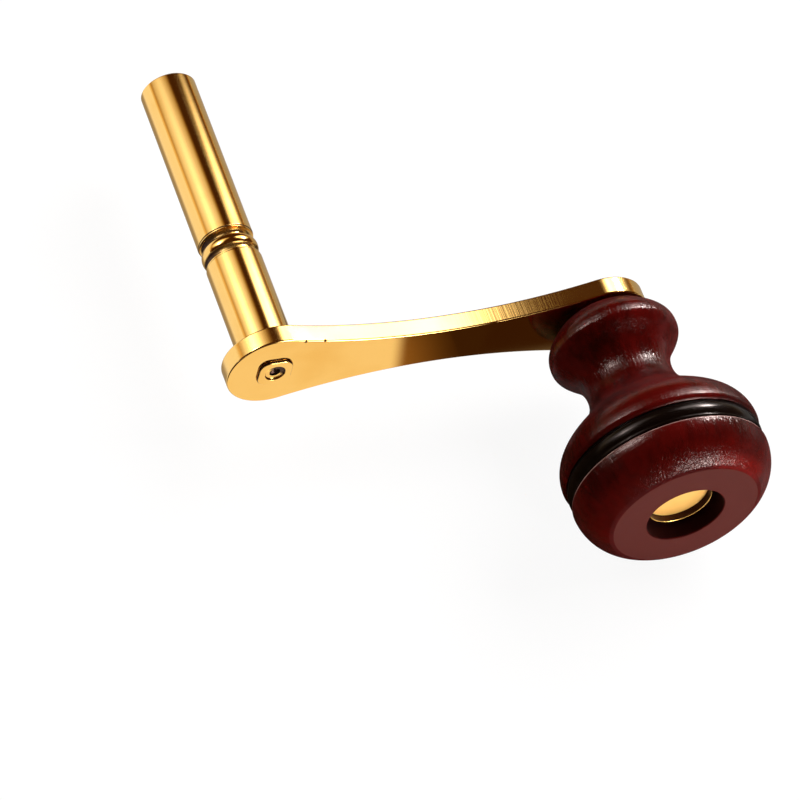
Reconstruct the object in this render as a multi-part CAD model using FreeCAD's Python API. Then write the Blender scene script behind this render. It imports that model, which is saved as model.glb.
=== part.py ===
import FreeCAD
import Part
import math
import os

# Clock winding crank key. Millimetres. The winding axis is Y: the socket's mouth is at the origin and
# opens towards +Y, the crank arm runs along +X, and the knob stands off the arm towards -Y.

# Barrel
barrel_radius = 5.0
barrel_length = 58.8
mouth_chamfer = 0.3
mouth_land = 0.55
socket_width = 5.5
socket_corner = 0.3
socket_depth = 18.0
relief_clearance = 0.05
relief_length = 3.0
drill_point_angle = 118.0

# Turned ornament on the barrel: a cove, a bead and a narrow groove, in order from the mouth
cove_start = 34.35
cove_width = 1.7
cove_depth = 1.15
cove_lip = 0.45
bead_width = 2.85
bead_crown = 0.05
groove_depth = 0.55
groove_width = 0.55

# Square tenon through the arm, with a dish and a centre mark in its end
tenon_width = 6.0
tenon_corner = 1.9
tenon_proud = 0.5
tenon_edge = 0.15
dish_radius = 2.0
dish_depth = 0.35
mark_radius = 0.95
mark_wall = 0.7
mark_depth = 1.3

# Crank arm
arm_thickness = 3.4
arm_length = 60.5
big_end_radius = 8.4
small_end_radius = 8.3
waist_radius = 105.0
arm_bevel = 0.2
seat_clearance = 0.02

# Spindle
shank_radius = 3.0
rivet_shoulder = 0.8
rivet_flare = 0.6
rivet_proud = 0.3
rivet_edge = 0.3
rivet_dish = 0.15
head_radius = 5.5
head_thickness = 1.45
head_edge = 0.12
running_clearance = 0.05
end_play = 0.15

# Washers
spacer_radius = 4.6
spacer_thickness = 0.8
cup_wall = 0.35
cup_gap = 0.05
cup_height = 1.15
cup_corner = 0.3
cup_edge = 0.1

# Knob radii
back_radius = 8.5
flange_radius = 11.65
neck_radius = 7.84
body_radius = 17.78

# Knob lengths, each on from the one before, the first from the arm's front face
flange_crown = 5.9
neck_length = 8.0
body_length = 15.1
roll_length = 1.0
band_length = 3.45
lip_length = 0.27
end_length = 7.63

# How full the knob's long curves are, as the reach of each curve's handle
back_inset = 0.25
back_reach = 3.25
crown_reach = 0.8
flange_reach = 2.2
neck_reach_up = 4.8
neck_reach_down = 7.4
body_reach = 7.0

# Knob's band and end, by how far each lies inside the body's radius
band_drop = 0.28
groove_drop = 0.78
lip_drop = 0.16
end_middle_drop = 1.64
end_face_drop = 4.78
end_middle_place = 4.88
lip_round = 0.16
end_round = 0.6

# Counterbore in the knob's end
counterbore_gap = 1.03
counterbore_depth = 5.75
counterbore_edge = 0.15

# How far a cutting tool runs past the face that it cuts
overrun = 1.0

# Places and sizes that follow from those above
arm_back = -barrel_length
arm_front = arm_back - arm_thickness
boss_end = arm_front - tenon_proud
cove_end = cove_start + cove_width
bead_end = cove_end + bead_width
groove_end = bead_end + groove_width
rivet_radius = shank_radius - rivet_shoulder
bore_radius = shank_radius + running_clearance
washer_hole = shank_radius + seat_clearance
cup_inside = head_radius + cup_gap
cup_outside = cup_inside + cup_wall
counterbore_radius = cup_outside + counterbore_gap
knob_back = arm_front - spacer_thickness - end_play
neck_place = flange_crown + neck_length
body_place = neck_place + body_length
band_start = body_place + roll_length
band_end = band_start + band_length
lip_place = band_end + lip_length
knob_end = lip_place + end_length
knob_front = arm_front - knob_end
counterbore_floor = knob_front + counterbore_depth
cup_back = counterbore_floor - end_play
head_back = cup_back - cup_wall
head_front = head_back - head_thickness


def point(radius, y):
    # A point of a turned outline, drawn in the plane of the axis and +X
    return FreeCAD.Vector(radius, y, 0)


def line(a, b):
    return Part.makeLine(a, b)


def arc(a, middle, b):
    return Part.Arc(a, middle, b).toShape()


def curve(a, handle_a, handle_b, b):
    bezier = Part.BezierCurve()
    bezier.setPoles([a, handle_a, handle_b, b])
    return bezier.toShape()


def sweep(a, b, reach_a, reach_b):
    # A curve that leaves a along the axis and arrives at b along the axis
    return curve(a, point(a.x, a.y - reach_a), point(b.x, b.y + reach_b), b)


def roll(a, b):
    # An arc that leaves a along the axis and turns in to b
    drop = a.x - b.x
    run = a.y - b.y
    radius = (drop**2 + run**2) / (2 * drop)
    half_turn = math.atan2(run, radius - drop) / 2
    middle = point(a.x - radius * (1 - math.cos(half_turn)), a.y - radius * math.sin(half_turn))
    return arc(a, middle, b)


def turned(edges):
    # Revolves a closed outline about the winding axis
    face = Part.Face(Part.Wire(edges))
    return face.revolve(FreeCAD.Vector(0, 0, 0), FreeCAD.Vector(0, 1, 0), 360)


def turned_lines(outline):
    corners = [point(radius, y) for radius, y in outline]
    edges = []
    for i in range(len(corners)):
        edges.append(line(corners[i], corners[(i + 1) % len(corners)]))
    return turned(edges)


def ring_edge(shape, radius, y):
    # The round edge of a turned piece at one radius and one place on the axis
    for edge in shape.Edges:
        if isinstance(edge.Curve, Part.Circle):
            off = abs(edge.Curve.Radius - radius) + abs(edge.Curve.Center.y - y)
            if off < 1e-5:
                return [edge]
    raise ValueError("no round edge at that place")


def rounded_square(width, corner, y_from, y_to):
    # A square bar along Y with its long edges rounded
    half = width / 2
    bar = Part.makeBox(width, y_to - y_from, width, FreeCAD.Vector(-half, y_from, -half))
    along = []
    for edge in bar.Edges:
        if abs(edge.Vertexes[0].Y - edge.Vertexes[-1].Y) > 1e-6:
            along.append(edge)
    return bar.makeFillet(corner, along)


def to_knob_axis(shape):
    # Moves a piece turned about the winding axis to the arm's small end
    shape.translate(FreeCAD.Vector(arm_length, 0, 0))
    return shape


def barrel_outline():
    # From the centre of the mouth round the outside to the shoulder on the arm's back
    r = barrel_radius
    centre = point(0, 0)
    mouth = point(r - mouth_chamfer, 0)
    edge = point(r, -mouth_chamfer)
    cove_in = point(r, -cove_start)
    cove_middle = point(r - cove_depth, -(cove_start + cove_end) / 2)
    cove_out = point(r - cove_lip, -cove_end)
    bead_middle = point(r + bead_crown, -(cove_end + bead_end) / 2)
    bead_out = point(r - groove_depth, -bead_end)
    groove_out = point(r, -groove_end)
    shoulder = point(r, arm_back)
    end = point(0, arm_back)
    return [
        line(centre, mouth),
        line(mouth, edge),
        line(edge, cove_in),
        arc(cove_in, cove_middle, cove_out),
        arc(cove_out, bead_middle, bead_out),
        line(bead_out, groove_out),
        line(groove_out, shoulder),
        line(shoulder, end),
        line(end, centre),
    ]


def make_socket():
    # Square hole with a 45 degree lead-in at its mouth and a drilled relief behind it
    half = socket_width / 2
    square = rounded_square(socket_width, socket_corner, -socket_depth, overrun)
    lead_radius = barrel_radius - mouth_chamfer - mouth_land
    lead_depth = lead_radius - half
    lead = turned_lines([
        (0, overrun),
        (lead_radius + overrun, overrun),
        (half, -lead_depth),
        (0, -lead_depth),
    ])
    relief_radius = half + relief_clearance
    relief_start = -socket_depth + overrun
    relief_end = -socket_depth - relief_length
    relief_tip = relief_end - relief_radius / math.tan(math.radians(drill_point_angle / 2))
    relief = turned_lines([
        (0, relief_start),
        (relief_radius, relief_start),
        (relief_radius, relief_end),
        (0, relief_tip),
    ])
    return square.fuse([lead, relief])


def make_tenon():
    # Square tenon through the arm, ending in a boss with a dish and a centre mark
    tenon = rounded_square(tenon_width, tenon_corner, boss_end, arm_back + overrun)
    rim = []
    for edge in tenon.Edges:
        if all(abs(vertex.Y - boss_end) < 1e-6 for vertex in edge.Vertexes):
            rim.append(edge)
    tenon = tenon.makeChamfer(tenon_edge, rim)
    dish = turned_lines([
        (0, boss_end - overrun),
        (dish_radius, boss_end - overrun),
        (dish_radius, boss_end),
        (mark_radius, boss_end + dish_depth),
        (0, boss_end + dish_depth),
    ])
    mark = turned_lines([
        (0, boss_end),
        (mark_radius, boss_end),
        (mark_radius, boss_end + mark_wall),
        (0, boss_end + mark_depth),
    ])
    return tenon.cut(dish.fuse(mark))


def make_barrel():
    body = turned(barrel_outline())
    return body.cut(make_socket()).fuse(make_tenon()).removeSplitter()


def arm_outline():
    # Two round ends joined by a long hollow arc on each side, tangent to both
    reach_big = big_end_radius + waist_radius
    reach_small = small_end_radius + waist_radius
    waist_x = (reach_big**2 - reach_small**2 + arm_length**2) / (2 * arm_length)
    waist_z = math.sqrt(reach_big**2 - waist_x**2)
    hollow_z = waist_z - waist_radius
    big_x = waist_x * big_end_radius / reach_big
    big_z = waist_z * big_end_radius / reach_big
    small_x = arm_length + (waist_x - arm_length) * small_end_radius / reach_small
    small_z = waist_z * small_end_radius / reach_small

    def spot(x, z):
        return FreeCAD.Vector(x, arm_front, z)

    big_up, big_down = spot(big_x, big_z), spot(big_x, -big_z)
    small_up, small_down = spot(small_x, small_z), spot(small_x, -small_z)
    return Part.Wire([
        arc(big_down, spot(-big_end_radius, 0), big_up),
        arc(big_up, spot(waist_x, hollow_z), small_up),
        arc(small_up, spot(arm_length + small_end_radius, 0), small_down),
        arc(small_down, spot(waist_x, -hollow_z), big_down),
    ])


def make_arm():
    plate = Part.Face(arm_outline()).extrude(FreeCAD.Vector(0, arm_thickness, 0))
    rims = []
    for edge in plate.Edges:
        if abs(edge.Vertexes[0].Y - edge.Vertexes[-1].Y) < 1e-6:
            rims.append(edge)
    plate = plate.makeChamfer(arm_bevel, rims)
    hole_width = tenon_width + 2 * seat_clearance
    square = rounded_square(hole_width, tenon_corner, arm_front - overrun, arm_back + overrun)
    hole_radius = rivet_radius + seat_clearance
    rivet_hole = turned_lines([
        (0, arm_front - overrun),
        (hole_radius, arm_front - overrun),
        (hole_radius, arm_back - rivet_flare),
        (hole_radius + rivet_flare, arm_back),
        (hole_radius + rivet_flare, arm_back + overrun),
        (0, arm_back + overrun),
    ])
    return plate.cut(square).cut(to_knob_axis(rivet_hole))


def make_spindle():
    # Riveted end in the arm, shank through the knob, flat head at the far end
    top = arm_back + rivet_proud
    spread_radius = rivet_radius + rivet_flare
    spindle = turned_lines([
        (0, top - rivet_dish),
        (spread_radius - rivet_edge, top),
        (spread_radius, arm_back),
        (rivet_radius, arm_back - rivet_flare),
        (rivet_radius, arm_front),
        (shank_radius, arm_front),
        (shank_radius, head_back),
        (head_radius, head_back),
        (head_radius, head_front),
        (0, head_front),
    ])
    spindle = spindle.makeChamfer(head_edge, ring_edge(spindle, head_radius, head_front))
    return to_knob_axis(spindle)


def make_spacer():
    # Thin washer that holds the knob off the arm
    seat = arm_front - spacer_thickness
    spacer = turned_lines([
        (washer_hole, arm_front),
        (spacer_radius, arm_front),
        (spacer_radius, seat),
        (washer_hole, seat),
    ])
    return to_knob_axis(spacer)


def make_cup():
    # Cup washer under the head, with its rim standing above the head's face
    rim = head_front - cup_height
    cup = turned_lines([
        (washer_hole, cup_back),
        (cup_outside, cup_back),
        (cup_outside, rim),
        (cup_inside, rim),
        (cup_inside, head_back),
        (washer_hole, head_back),
    ])
    rims = ring_edge(cup, cup_outside, rim) + ring_edge(cup, cup_inside, rim)
    cup = cup.makeChamfer(cup_edge, rims)
    cup = cup.makeChamfer(cup_corner, ring_edge(cup, cup_outside, cup_back))
    return to_knob_axis(cup)


def knob_outline():
    # The feature that takes most care: the turned outline, from the bore's back end round to the bore
    def at(radius, place):
        return point(radius, arm_front - place)

    bore_back = point(bore_radius, knob_back)
    back_edge = point(back_radius, knob_back)
    back_handle = point(flange_radius - back_inset, knob_back - back_reach)
    flange_handle = at(flange_radius, flange_crown - crown_reach)
    flange = at(flange_radius, flange_crown)
    neck = at(neck_radius, neck_place)
    body = at(body_radius, body_place)
    band_in = at(body_radius - groove_drop, band_start)
    band_middle = at(body_radius - band_drop, (band_start + band_end) / 2)
    band_out = at(body_radius - groove_drop, band_end)
    lip = at(body_radius - lip_drop, lip_place)
    end_middle = at(body_radius - end_middle_drop, lip_place + end_middle_place)
    end_edge = at(body_radius - end_face_drop, knob_end)
    mouth = at(counterbore_radius, knob_end)
    floor_edge = point(counterbore_radius, counterbore_floor)
    floor_bore = point(bore_radius, counterbore_floor)
    return [
        line(bore_back, back_edge),
        curve(back_edge, back_handle, flange_handle, flange),
        sweep(flange, neck, flange_reach, neck_reach_up),
        sweep(neck, body, neck_reach_down, body_reach),
        roll(body, band_in),
        arc(band_in, band_middle, band_out),
        line(band_out, lip),
        arc(lip, end_middle, end_edge),
        line(end_edge, mouth),
        line(mouth, floor_edge),
        line(floor_edge, floor_bore),
        line(floor_bore, bore_back),
    ]


def make_knob():
    knob = turned(knob_outline())
    knob = knob.makeFillet(lip_round, ring_edge(knob, body_radius - lip_drop, arm_front - lip_place))
    knob = knob.makeFillet(end_round, ring_edge(knob, body_radius - end_face_drop, knob_front))
    knob = knob.makeChamfer(counterbore_edge, ring_edge(knob, counterbore_radius, knob_front))
    return to_knob_axis(knob)


def save(name, shape):
    if not shape.isValid() or len(shape.Solids) != 1:
        raise ValueError(name + " isn't one sound solid")
    solid = shape.Solids[0]
    print(name, round(solid.Volume, 1), "mm3", solid.BoundBox)
    solid.exportStep("parts/" + name + ".step")


os.makedirs("parts", exist_ok=True)
save("winding_barrel", make_barrel())
save("crank_arm", make_arm())
save("knob_spindle", make_spindle())
save("arm_washer", make_spacer())
save("cup_washer", make_cup())
save("turned_knob", make_knob())
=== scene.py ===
import math

import bmesh
import bpy
from mathutils import Euler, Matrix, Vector
from mathutils.geometry import delaunay_2d_cdt


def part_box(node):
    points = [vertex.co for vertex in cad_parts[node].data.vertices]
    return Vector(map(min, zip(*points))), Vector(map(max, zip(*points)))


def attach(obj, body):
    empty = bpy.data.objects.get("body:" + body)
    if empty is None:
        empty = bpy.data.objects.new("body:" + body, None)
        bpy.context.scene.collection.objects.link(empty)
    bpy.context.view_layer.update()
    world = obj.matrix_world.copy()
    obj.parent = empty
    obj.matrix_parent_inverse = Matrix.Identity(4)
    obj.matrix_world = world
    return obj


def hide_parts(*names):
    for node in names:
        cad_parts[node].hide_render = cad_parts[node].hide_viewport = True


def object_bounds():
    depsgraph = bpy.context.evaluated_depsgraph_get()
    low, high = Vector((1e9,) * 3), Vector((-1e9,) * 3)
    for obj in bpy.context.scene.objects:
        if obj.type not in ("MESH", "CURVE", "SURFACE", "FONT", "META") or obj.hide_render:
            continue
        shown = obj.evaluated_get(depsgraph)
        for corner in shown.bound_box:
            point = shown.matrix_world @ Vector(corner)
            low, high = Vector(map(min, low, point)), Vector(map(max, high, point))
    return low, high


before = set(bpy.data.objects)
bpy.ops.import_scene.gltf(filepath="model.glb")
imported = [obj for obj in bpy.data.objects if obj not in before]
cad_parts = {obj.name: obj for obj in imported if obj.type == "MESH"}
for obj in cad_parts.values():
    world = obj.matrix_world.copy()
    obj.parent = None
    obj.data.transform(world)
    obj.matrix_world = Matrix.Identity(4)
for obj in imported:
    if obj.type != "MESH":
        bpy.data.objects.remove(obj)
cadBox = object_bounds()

# A hand crank key for winding a clock: polished brass and a varnished turned knob, on a pale
# studio floor. Outlines and finishes are written in millimetres. Meshes are made in metres, in
# the frame's own axes: the barrel lies along Y with its mouth at the origin, and the arm runs
# out along +X.

mm = 0.001
fullTurn = 2 * math.pi
columns = 256                    # how many columns a turned piece has around its axis
holdWidth = 0.05                 # how far from a corner the ring stands that keeps a face flat
coreRadius = 0.01                # the last ring before a closing point


# Small helpers for outlines

def boxOf(node):
    # The low and the high corner of a node
    return [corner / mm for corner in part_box(node)]


def polar(azimuth, elevation):
    # Azimuth runs from +Y towards +X, elevation up from the floor
    azimuth, elevation = math.radians(azimuth), math.radians(elevation)
    level = math.cos(elevation)
    return Vector((math.sin(azimuth) * level, math.cos(azimuth) * level, math.sin(elevation)))


def partWay(first, last, share):
    return tuple(a + (b - a) * share for a, b in zip(first, last))


def arcRun(start, middle, end, steps):
    # Points of the arc from start through middle to end
    (ax, ay), (bx, by), (cx, cy) = start, middle, end
    d = 2 * (ax * (by - cy) + bx * (cy - ay) + cx * (ay - by))
    a2, b2, c2 = ax * ax + ay * ay, bx * bx + by * by, cx * cx + cy * cy
    ux = (a2 * (by - cy) + b2 * (cy - ay) + c2 * (ay - by)) / d
    uy = (a2 * (cx - bx) + b2 * (ax - cx) + c2 * (bx - ax)) / d
    radius = math.hypot(ax - ux, ay - uy)
    angles = [math.atan2(y - uy, x - ux) for x, y in (start, middle, end)]
    toEnd = (angles[2] - angles[0]) % fullTurn
    if (angles[1] - angles[0]) % fullTurn > toEnd:
        toEnd -= fullTurn
    return [
        (ux + radius * math.cos(angles[0] + toEnd * i / steps),
         uy + radius * math.sin(angles[0] + toEnd * i / steps))
        for i in range(steps + 1)
    ]


def curveRun(start, handleA, handleB, end, steps):
    # Points of a free curve with two handles
    spots = start, handleA, handleB, end
    run = []
    for i in range(steps + 1):
        t = i / steps
        weights = (1 - t)**3, 3 * t * (1 - t)**2, 3 * t * t * (1 - t), t**3
        run.append(tuple(sum(w * spot[k] for w, spot in zip(weights, spots)) for k in range(2)))
    return run


def trimmed(run, cut):
    # A run of points without the first stretch of the given length
    points = list(run)
    while len(points) > 1:
        step = math.dist(points[0], points[1])
        if step > cut:
            return [partWay(points[0], points[1], cut / step)] + points[1:]
        cut -= step
        points.pop(0)
    return points


def joined(runs, cuts, closed=False):
    # Joins runs of points into one outline. Each joint is eased over its own cut, and a cut of 0
    # is a smooth joint
    count = len(runs)
    outline = []
    for i, run in enumerate(runs):
        before = cuts[i - 1] if i or closed else 0
        after = cuts[i] if i < count - 1 or closed else 0
        points = trimmed(trimmed(run, before)[::-1], after)[::-1]
        if len(points) == 2:
            # A straight run gets a point near each end, which holds its face flat
            hold = min(holdWidth / math.dist(*points), 0.3)
            points = [partWay(*points, share) for share in (0, hold, 0.5, 1 - hold, 1)]
        outline += points if not outline or before else points[1:]
        if after:
            following = trimmed(runs[(i + 1) % count], after)[0]
            for t in (0.25, 0.5, 0.75):
                outline.append(tuple(
                    (1 - t)**2 * a + 2 * t * (1 - t) * b + t * t * c
                    for a, b, c in zip(points[-1], run[-1], following)))
    return outline[:-1] if closed and not cuts[-1] else outline


def straight(*corners):
    return [[corners[i], corners[i + 1]] for i in range(len(corners) - 1)]


# Rings of a turned piece. A ring holds a radius and a place on the axis for each column

def roundRing(radius, place):
    return [(radius, place)] * columns


def roundRings(outline):
    return [roundRing(*spot) for spot in outline]


def squareRadius(half, corner, turn):
    # Reach of a square with rounded corners at an angle from the middle of one side
    turn = abs((turn + math.pi / 4) % (math.pi / 2) - math.pi / 4)
    if half * math.tan(turn) <= half - corner:
        return half / math.cos(turn)
    centre = (half - corner) * math.sqrt(2)
    off = math.pi / 4 - turn
    return centre * math.cos(off) + math.sqrt(corner**2 - (centre * math.sin(off))**2)


def squareRing(half, corner, place):
    return [(squareRadius(half, corner, fullTurn * k / columns), place) for k in range(columns)]


def between(first, last, shares):
    # Rings part of the way from one ring to another
    return [[partWay(p, q, share) for p, q in zip(first, last)] for share in shares]


def makeMesh(name, vertices, faces):
    mesh = bpy.data.meshes.new(name)
    mesh.from_pydata(vertices, [], faces)
    mesh.validate()
    mesh.shade_smooth()
    piece = bpy.data.objects.new(name, mesh)
    bpy.context.scene.collection.objects.link(piece)
    return piece


def turnedPiece(name, rings, centre, closed=False):
    # A turned piece about an axis along Y. A ring of no radius is one point
    vertices, rows = [], []
    for ring in rings:
        if ring[0][0] == 0:
            rows.append([len(vertices)] * columns)
            vertices.append((centre * mm, ring[0][1] * mm, 0))
            continue
        rows.append(list(range(len(vertices), len(vertices) + columns)))
        for k, (radius, place) in enumerate(ring):
            turn = fullTurn * k / columns
            vertices.append((
                (centre + radius * math.sin(turn)) * mm, place * mm, radius * math.cos(turn) * mm))
    faces = []
    for lower, upper in zip(rows, rows[1:] + rows[:1] if closed else rows[1:]):
        for k in range(columns):
            n = (k + 1) % columns
            corners = [lower[k], lower[n], upper[n], upper[k]]
            faces.append([c for j, c in enumerate(corners) if c != corners[j - 1]])
    return makeMesh(name, vertices, faces)


def dress(piece, body, node, finish):
    # Puts a piece in a node's place, on its body, with its finish
    piece.data.materials.append(finish)
    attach(piece, body)
    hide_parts(node)


# Finishes are built from nodes

def bothWays(operation):
    # An operator and its reflected form
    return (
        lambda self, other: self.maths(operation, self, other),
        lambda self, other: self.maths(operation, other, self))


class Wire:
    # One node's output. A formula on it adds the Math nodes that it needs
    def __init__(self, finish, socket):
        self.finish = finish
        self.socket = socket

    def maths(self, operation, *values):
        settings = {"operation": operation}
        return self.finish.node("ShaderNodeMath", settings, dict(enumerate(values)))

    __add__, __radd__ = bothWays("ADD")
    __sub__, __rsub__ = bothWays("SUBTRACT")
    __mul__, __rmul__ = bothWays("MULTIPLY")
    __truediv__, __rtruediv__ = bothWays("DIVIDE")
    __pow__, __rpow__ = bothWays("POWER")

    def __neg__(self):
        return self.maths("MULTIPLY", self, -1.0)

    def __abs__(self):
        return self.maths("ABSOLUTE", self)

    def atMost(self, limit):
        return self.maths("MINIMUM", self, limit)

    def atLeast(self, limit):
        return self.maths("MAXIMUM", self, limit)


class Finish:
    # A material, or the world, while its nodes are laid out
    def __init__(self, owner):
        owner.use_nodes = True
        self.owner = owner
        self.tree = owner.node_tree
        self.tree.nodes.clear()

    def node(self, kind, settings=None, sockets=None, output=0):
        made = self.tree.nodes.new(kind)
        for name, value in (settings or {}).items():
            setattr(made, name, value)
        for name, value in (sockets or {}).items():
            if isinstance(value, Wire):
                self.tree.links.new(value.socket, made.inputs[name])
            else:
                made.inputs[name].default_value = value
        return Wire(self, made.outputs[output]) if made.outputs else None

    def outputs(self, kind, sockets=None):
        # All outputs of a node, by name
        made = self.node(kind, {}, sockets).socket.node
        return {socket.name: Wire(self, socket) for socket in made.outputs}

    def blend(self, factor, first, second, mode="MIX"):
        # Mixes two colours. A Mix node has its colours at the inputs 6 and 7 and the output 2
        settings = {"data_type": "RGBA", "blend_type": mode}
        first, second = [
            value if isinstance(value, Wire) else (*value, 1) for value in (first, second)]
        return self.node("ShaderNodeMix", settings, {0: factor, 6: first, 7: second}, output=2)

    def step(self, value, low, high):
        # A soft step from 0 to 1 as the value goes from low to high
        settings = {"interpolation_type": "SMOOTHSTEP"}
        return self.node(
            "ShaderNodeMapRange", settings, {"Value": value, "From Min": low, "From Max": high})

    def within(self, value, start, end, soft, softEnd=None):
        # 1 from start to end and 0 outside them, with soft steps on the inner side of both
        rise = self.step(value, start, start + soft)
        return rise * (1 - self.step(value, end - (softEnd or soft), end))

    def speckle(self, vector, scale, detail=2.0, roughness=0.5, distortion=0.0):
        sockets = {"Vector": vector, "Scale": scale, "Detail": detail,
                   "Roughness": roughness, "Distortion": distortion}
        return self.node("ShaderNodeTexNoise", {}, sockets)

    def where(self):
        # The place of a point of the piece, in metres
        return self.node("ShaderNodeTexCoord", output="Object")

    def places(self):
        # The three coordinates of that place, in millimetres
        split = self.outputs("ShaderNodeSeparateXYZ", {0: self.where()})
        return [place / mm for place in split.values()]

    def vector(self, x, y, z):
        return self.node("ShaderNodeCombineXYZ", {}, {0: x, 1: y, 2: z})

    def along(self, where, axis, start=0.0):
        # How far a place lies along a fixed axis, counted from start
        settings = {"operation": "DOT_PRODUCT"}
        sockets = {0: where, 1: axis}
        return self.node("ShaderNodeVectorMath", settings, sockets, output="Value") - start

    def warmed(self, glow, red, blue):
        # The dim parts of a glow are warmer than its bright parts
        dim = glow.atMost(1.0).atLeast(0.001)
        return self.vector(glow / dim**red, glow, glow * dim**blue)

    def inside(self, where, sides):
        # 1 inside some straight sides and 0 outside them. A side is an inward axis, a start and
        # a softness
        mask = 1.0
        for axis, start, soft in sides:
            mask = self.step(self.along(where, axis), start, start + soft) * mask
        return mask

    def latheLines(self, x, y, z, radius, run, fineness, detail):
        # Lines that run round the axis, broken here and there by the polishing
        lines = self.vector(x * run, y * fineness, radius * fineness + z * run)
        return self.speckle(lines, 1.0, detail)

    def bump(self, height, depth):
        sockets = {"Strength": 1.0, "Distance": depth * mm, "Height": height}
        return self.node("ShaderNodeBump", {}, sockets)

    def light(self, colour, strength=1.0):
        return self.node("ShaderNodeEmission", {}, {"Color": colour, "Strength": strength})

    def mixed(self, factor, first, second):
        return self.node("ShaderNodeMixShader", {}, {0: factor, 1: first, 2: second})

    def close(self, shader, output="ShaderNodeOutputMaterial"):
        self.node(output, {"is_active_output": True}, {"Surface": shader})
        return self.owner


def newFinish(name):
    return Finish(bpy.data.materials.new(name))


# Where the pieces meet

armLow, armHigh = boxOf("crank_arm")
spindleLow, spindleHigh = boxOf("knob_spindle")
knobLow, knobHigh = boxOf("turned_knob")
armFront, armBack = armLow.y, armHigh.y
knobAxis = (knobLow.x + knobHigh.x) / 2


# Brass

brass = {
    "colour": (0.98, 0.61, 0.19),       # clean metal
    "deepColour": (0.93, 0.54, 0.14),   # where the polish is a little tarnished
    "deepSpan": (0.45, 0.75),           # how strong the haze is there
    # painted shade: the dark brown laid into hollows and between parts
    "paintedShade": (0.036, 0.011, 0.006),
    "paintedShadeRoughness": 0.35,
    "paintedShadeDulling": 0.3,
    "haze": 0.09,                       # spots per millimetre
    "lines": (0.06, 9.0, 3.0),          # lathe lines: run and fineness per millimetre, and detail
    "bands": (0.025, 1.4, 2.0),         # broader ones
    "bandShare": 0.3,
    "hazeRoughness": 0.08,
    "lineRoughness": 0.05,
}


def hazyBrass(finish, x, y, z, scale):
    # The haze of old polish and the colour under it
    haze = finish.speckle(finish.vector(x, y, z), scale, 3.0, 0.6)
    deep = finish.step(haze, *brass["deepSpan"])
    return haze, finish.blend(deep, brass["colour"], brass["deepColour"])


def closeBrass(finish, colour, metal, roughness, height, depth):
    return finish.close(finish.node("ShaderNodeBsdfPrincipled", {}, {
        "Base Color": colour, "Metallic": metal, "Roughness": roughness,
        "Normal": finish.bump(height, depth)}))


def turnedBrass(name, centre, piece, paintedShadeOf=None):
    # Brass off the lathe, with the roughness and the line depth of its piece
    finish = newFinish(name)
    x, y, z = finish.places()
    x = x - centre
    radius = (x * x + z * z)**0.5
    lines, bands = [finish.latheLines(x, y, z, radius, *brass[kind]) for kind in ("lines", "bands")]
    haze, colour = hazyBrass(finish, x, y, z, brass["haze"])
    metal = 1.0
    rough = piece["roughness"] + (haze - 0.5) * brass["hazeRoughness"]
    rough = rough + (lines - 0.5) * brass["lineRoughness"]
    # Painted shade: where the mask says, the piece turns dark brown, rougher and less metallic
    if paintedShadeOf:
        share = paintedShadeOf(finish, x, y, z, radius)
        colour = finish.blend(share, colour, brass["paintedShade"])
        rough = rough + share * brass["paintedShadeRoughness"]
        metal = 1 - share * brass["paintedShadeDulling"]
    height = lines * (1 - brass["bandShare"]) + bands * brass["bandShare"]
    return closeBrass(finish, colour, metal, rough, height, piece["lineDepth"])


# The barrel, one turned piece from the tip of its drilled relief to the mark in its tenon

beadCrown = 0.05                 # how far the bead stands out past the barrel

barrel = {
    "radius": boxOf("winding_barrel")[1].x - beadCrown,
    "mouthChamfer": 0.3,
    "mouthLand": 0.55,
    "socketWidth": 5.5,
    "socketCorner": 0.3,
    "socketDepth": 18.0,
    "reliefRadius": 2.8,
    "reliefLength": 3.0,
    "tipAngle": 118,
    "firstCut": (34.26, 34.33, 34.38),     # fine line before the cove: start, bottom and end
    "secondCut": (39.31, 39.36, 39.45),    # fine line after the groove
    "cutDepth": 0.16,
    "landDrop": 0.09,            # the narrow lands beside them lie this far inside the radius
    "cove": (34.62, 36.05),      # where it starts and ends
    "coveDepth": 1.1,
    "coveLip": 0.35,
    "beadStart": 36.2,
    "beadEdge": 0.12,            # how far the bead's two edges lie inside the barrel's radius
    "beadEnd": 37.8,
    "grooveHandles": ((-0.35, -0.3), (-0.02, 0.9)),
    "grooveEnd": 39.02,
    "grooveDepth": 0.6,
    "grooveWall": 0.05,
    "solidFrom": 40.0,           # from here on the barrel has no bore
    "shoulderHold": 3.6,
    "bossHeight": 0.5,
    "tenonWidth": 6.0,
    "tenonCorner": 1.9,
    "tenonEdge": 0.15,
    "dishRadius": 1.85,
    "dishEdge": 0.1,
    "dishWall": 0.22,
    "dishDepth": 0.3,
    "markRadius": 0.95,
    "markWall": 0.7,
    "markDepth": 1.3,
    "markTip": 0.02,
    "roughness": 0.10,
    "lineDepth": 0.002,
}


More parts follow.
